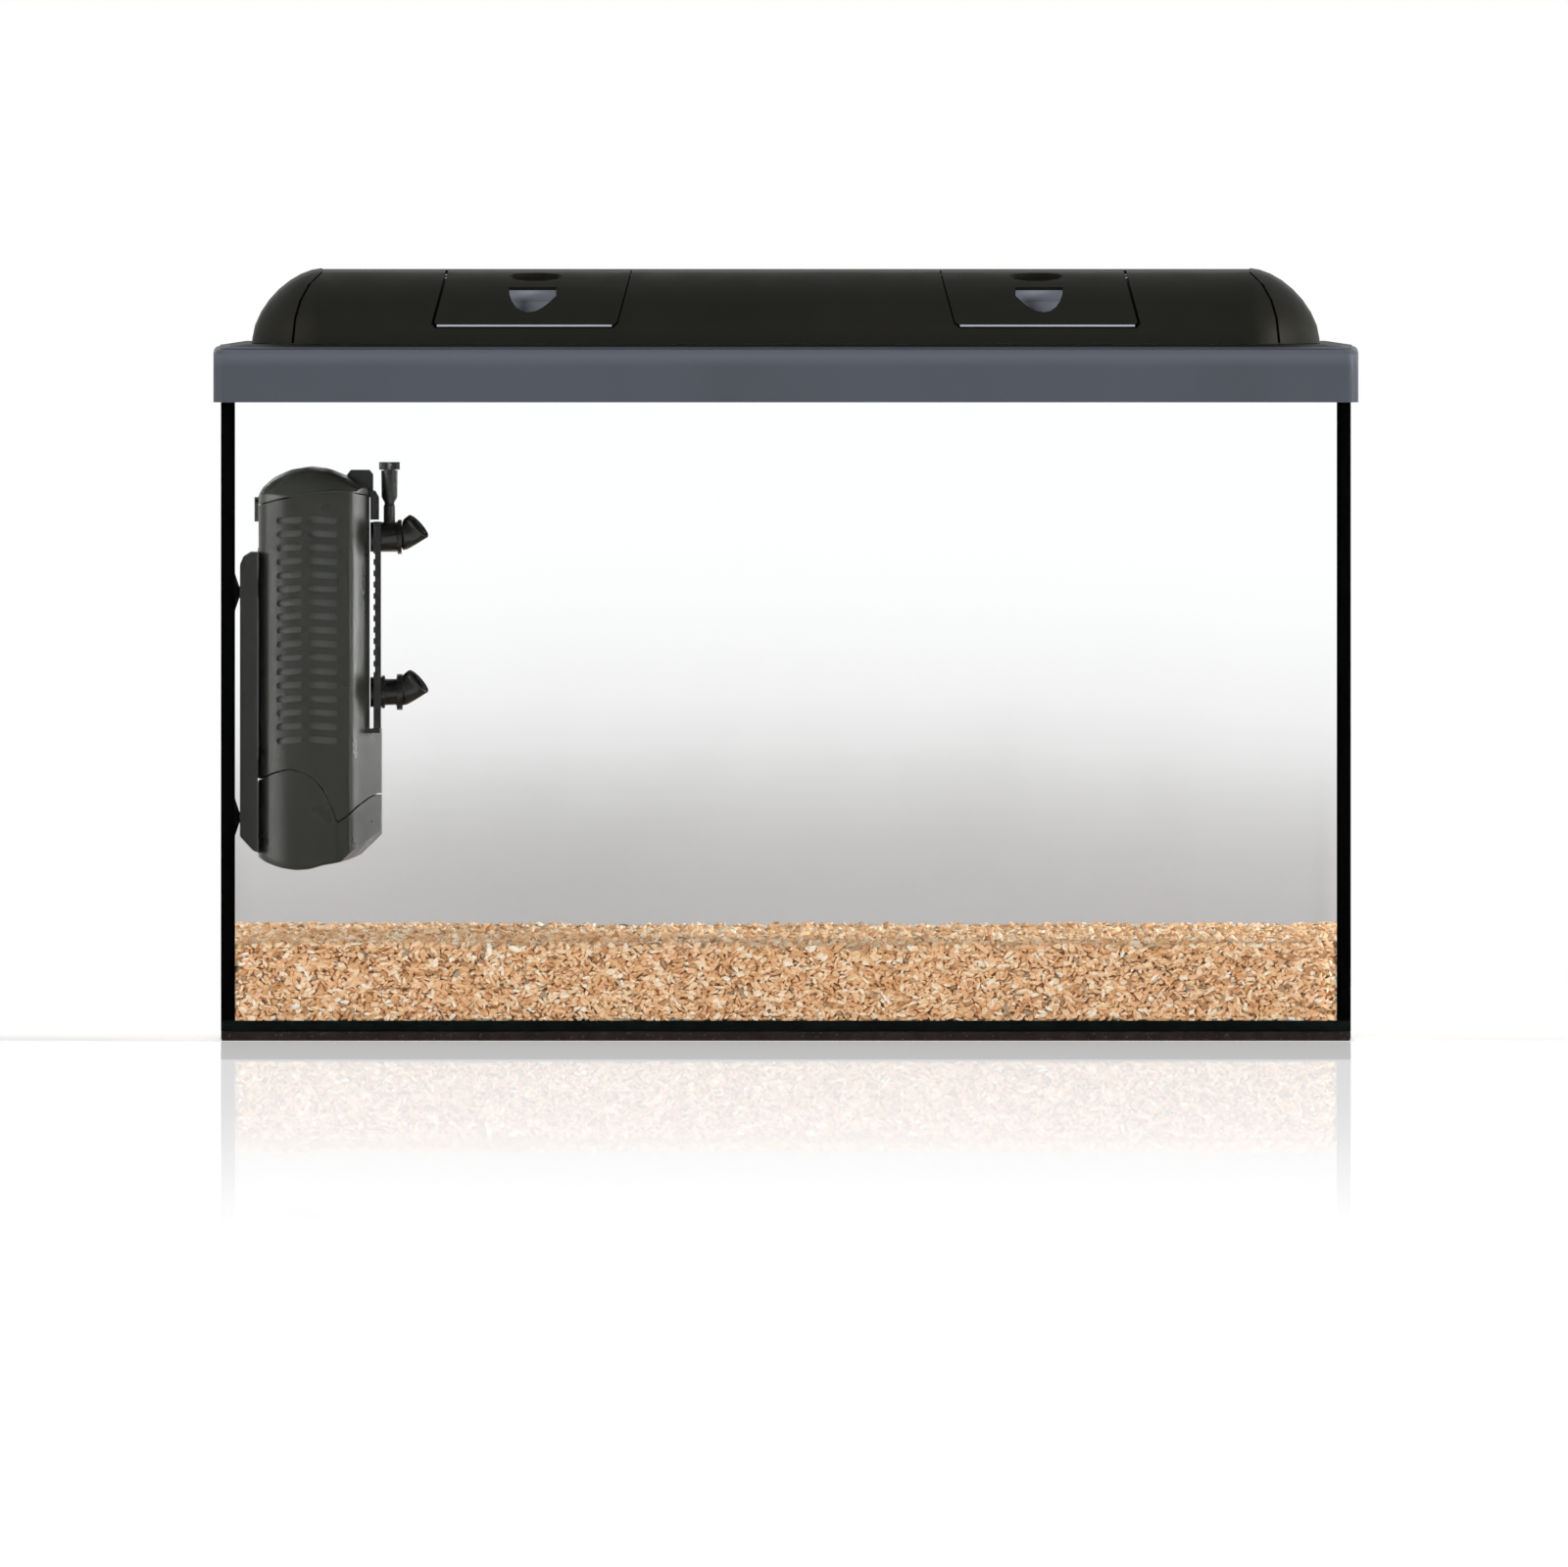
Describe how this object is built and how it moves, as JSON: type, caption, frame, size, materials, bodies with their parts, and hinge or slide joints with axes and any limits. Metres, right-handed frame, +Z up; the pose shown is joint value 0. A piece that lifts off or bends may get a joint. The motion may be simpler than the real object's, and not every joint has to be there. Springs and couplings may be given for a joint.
{
  "type": "aquarium",
  "caption": "Rimless glass aquarium on a foam mat, with a gravel bed, a slotted internal filter and a lift-off vaulted hood with feeding flaps and a lamp.",
  "frame": {"origin": "under the middle of the foam mat, on the surface that the tank stands on", "axes": "+X along the tank's length to the right as seen from the front, +Y to the back, +Z up"},
  "size_m": [0.608, 0.308, 0.4085],
  "materials": {
    "glass": "clear polished float glass with green edges",
    "silicone": "smooth black silicone",
    "mat": "dark brown-black closed-cell foam with light flecks",
    "film": "printed film that grades from white at the top to grey",
    "gravel": "dry tan, peach, cream and rust grains",
    "slate_plastic": "satin slate-grey moulding",
    "black_plastic": "satin black moulding",
    "grip_plastic": "satin mid-grey moulding",
    "filter_plastic": "semi-gloss dark olive-grey moulding",
    "filter_black": "satin near-black moulding",
    "filter_foam": "open-cell black sponge",
    "rubber": "soft black rubber",
    "ceramic": "ground white ceramic",
    "steel": "drawn stainless wire",
    "lamp_glass": "white coated lamp glass with metal ends",
    "reflector": "bright rolled sheet"
  },
  "bodies": {
    "tank": {"foam_mat": "mat", "front_pane": "glass", "rear_pane": "glass", "left_pane": "glass", "right_pane": "glass", "bottom_pane": "glass", "front_left_seam": "silicone", "front_right_seam": "silicone", "rear_left_seam": "silicone", "rear_right_seam": "silicone", "base_seam": "silicone", "rear_film": "film", "gravel_bed": "gravel", "filter_bracket": "filter_black", "upper_front_suction_cup": "rubber", "upper_rear_suction_cup": "rubber", "lower_front_suction_cup": "rubber", "lower_rear_suction_cup": "rubber"},
    "filter": {"filter_case": "filter_plastic", "filter_head": "filter_plastic", "filter_gland": "filter_black", "filter_foam": "filter_foam", "pump_chamber": "filter_black", "motor_block": "filter_black", "impeller_shaft": "ceramic", "outlet_rail": "filter_black", "rail_clip": "filter_black", "upper_outlet": "filter_black", "lower_outlet": "filter_black", "air_valve_body": "filter_black"},
    "cup": {"filter_cup": "filter_plastic"},
    "rotor": {"impeller": "filter_black"},
    "upper_spout": {"upper_nozzle": "filter_black"},
    "lower_spout": {"lower_nozzle": "filter_black"},
    "valve_knob": {"air_valve_knob": "filter_black"},
    "hood": {"hood_frame": "slate_plastic", "hood_deck": "black_plastic", "hood_vault": "black_plastic", "left_end_cap": "black_plastic", "right_end_cap": "black_plastic", "left_hinge_pin": "steel", "right_hinge_pin": "steel", "left_lamp_holder": "black_plastic", "right_lamp_holder": "black_plastic", "lamp_reflector": "reflector", "hood_gland": "rubber"},
    "left_lid": {"left_flap": "black_plastic", "left_flap_grip": "grip_plastic"},
    "right_lid": {"right_flap": "black_plastic", "right_flap_grip": "grip_plastic"},
    "lamp": {"lamp_tube": "lamp_glass"}
  },
  "joints": [
    {"name": "hood_lift", "type": "slide", "parent": "tank", "child": "hood", "axis": [0, 0, 1], "range_m": [0, 0.12]},
    {"name": "filter_lift", "type": "slide", "parent": "tank", "child": "filter", "axis": [0, 0, 1], "range_m": [0, 0.03]},
    {"name": "cup_release", "type": "slide", "parent": "filter", "child": "cup", "axis": [0, 0, -1], "range_m": [0, 0.025]},
    {"name": "impeller_spin", "type": "hinge", "parent": "filter", "child": "rotor", "pos_m": [-0.253, 0.024, 0.2655], "axis": [0, 0, 1], "continuous": true},
    {"name": "upper_nozzle_turn", "type": "hinge", "parent": "filter", "child": "upper_spout", "pos_m": [-0.202, 0.024, 0.2663], "axis": [1, 0, 0], "range_deg": [-90, 90]},
    {"name": "lower_nozzle_turn", "type": "hinge", "parent": "filter", "child": "lower_spout", "pos_m": [-0.202, 0.024, 0.184], "axis": [1, 0, 0], "range_deg": [-90, 90]},
    {"name": "air_valve_turn", "type": "hinge", "parent": "filter", "child": "valve_knob", "pos_m": [-0.2105, 0.024, 0.3035], "axis": [0, 0, 1], "range_deg": [0, 270]},
    {"name": "left_flap_hinge", "type": "hinge", "parent": "hood", "child": "left_lid", "pos_m": [-0.1309, -0.01, 0.4046], "axis": [-1, 0, 0], "range_deg": [0, 80]},
    {"name": "right_flap_hinge", "type": "hinge", "parent": "hood", "child": "right_lid", "pos_m": [0.1309, -0.01, 0.4046], "axis": [-1, 0, 0], "range_deg": [0, 80]},
    {"name": "lamp_turn", "type": "hinge", "parent": "hood", "child": "lamp", "pos_m": [0, 0.048, 0.385], "axis": [1, 0, 0], "range_deg": [0, 90]}
  ]
}
